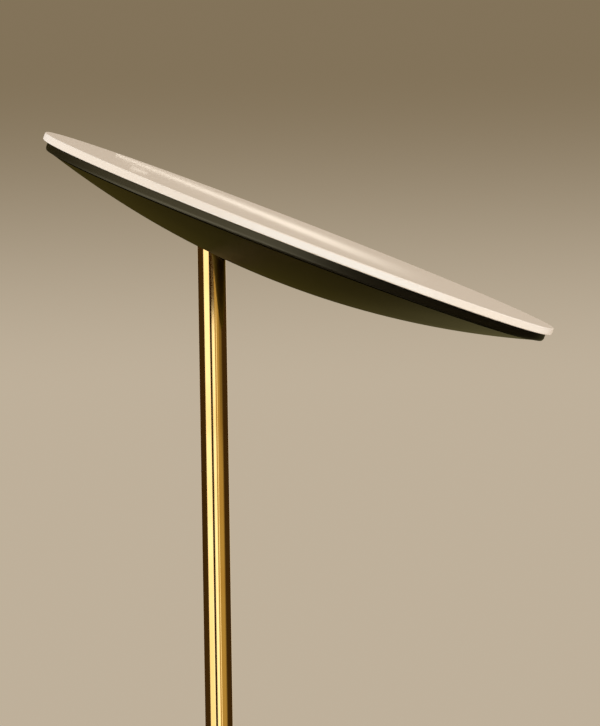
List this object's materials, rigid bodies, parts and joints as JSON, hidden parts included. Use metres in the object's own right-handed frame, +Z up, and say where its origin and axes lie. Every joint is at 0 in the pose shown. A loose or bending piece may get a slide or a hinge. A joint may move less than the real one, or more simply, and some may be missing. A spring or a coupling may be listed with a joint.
{
  "type": "floor lamp",
  "caption": "Floor lamp with a tilting disc head: an opal diffuser over a shallow black dish, a slim brass pole with a push button dimmer, and a weighted round base.",
  "frame": {"origin": "on the floor under the pole's axis, in the middle of the floor pad's underside", "axes": "+Z up along the pole, +X the way that the head leans, dimmer button on the -Y side, cord gland on the +Y side"},
  "size_m": [0.3306, 0.3, 1.7998],
  "materials": {
    "pad_rubber": "soft black foam rubber",
    "zinc_steel": "zinc plated steel",
    "cast_weight": "rough casting",
    "black_lacquer": "glossy black lacquer",
    "polished_brass": "polished brass",
    "black_plastic": "satin black plastic",
    "white_plastic": "matte white plastic",
    "circuit_board": "green solder mask",
    "lead_sheath": "black lead sheath",
    "friction_fibre": "brown fibre",
    "bare_aluminium": "mill finish aluminium",
    "white_board": "white solder mask on aluminium",
    "led_phosphor": "yellow phosphor",
    "opal_acrylic": "opal acrylic with a soft gloss"
  },
  "bodies": {
    "stand": {"floor_pad": "pad_rubber", "base_plate": "zinc_steel", "plate_screws": "zinc_steel", "base_weight": "cast_weight", "base_cover": "black_lacquer", "base_nipple": "zinc_steel", "base_nut": "zinc_steel", "base_washer": "zinc_steel", "base_collar": "polished_brass", "cord_gland": "black_plastic", "terminal_block": "white_plastic", "pole_insert": "zinc_steel", "lower_pole": "polished_brass", "pole_coupler": "zinc_steel", "middle_pole": "polished_brass", "switch_housing": "black_plastic", "switch_cover": "black_plastic", "set_screws": "zinc_steel", "dimmer_board": "circuit_board", "tact_switch": "black_plastic", "upper_pole": "polished_brass", "pole_lead": "lead_sheath", "hinge_knuckle": "zinc_steel"},
    "head": {"friction_washers": "friction_fibre", "hinge_ear_front": "zinc_steel", "hinge_ear_rear": "zinc_steel", "ear_screws": "zinc_steel", "hinge_bolt": "zinc_steel", "disc_spring": "zinc_steel", "hinge_nut": "zinc_steel", "hinge_lead": "lead_sheath", "dish": "black_lacquer", "slot_liner": "black_plastic", "carrier_plate": "bare_aluminium", "carrier_screws": "zinc_steel", "driver_case": "white_plastic", "driver_board": "circuit_board", "driver_screws": "zinc_steel", "led_lead": "lead_sheath", "led_board": "white_board", "board_connector": "white_plastic", "led_chips": "led_phosphor", "reflector_ring": "white_plastic", "diffuser": "opal_acrylic"},
    "button": {"dimmer_button": "polished_brass"}
  },
  "joints": [
    {"name": "head_tilt", "type": "hinge", "parent": "stand", "child": "head", "pos_m": [0, 0, 1.741], "axis": [0, 1, 0], "range_deg": [-22, 13], "deforming": ["hinge_lead"]},
    {"name": "button_press", "type": "slide", "parent": "stand", "child": "button", "axis": [0, 1, 0], "range_m": [0, 0.0012], "stiffness_N_per_m": 800, "springref_m": -0.001}
  ]
}
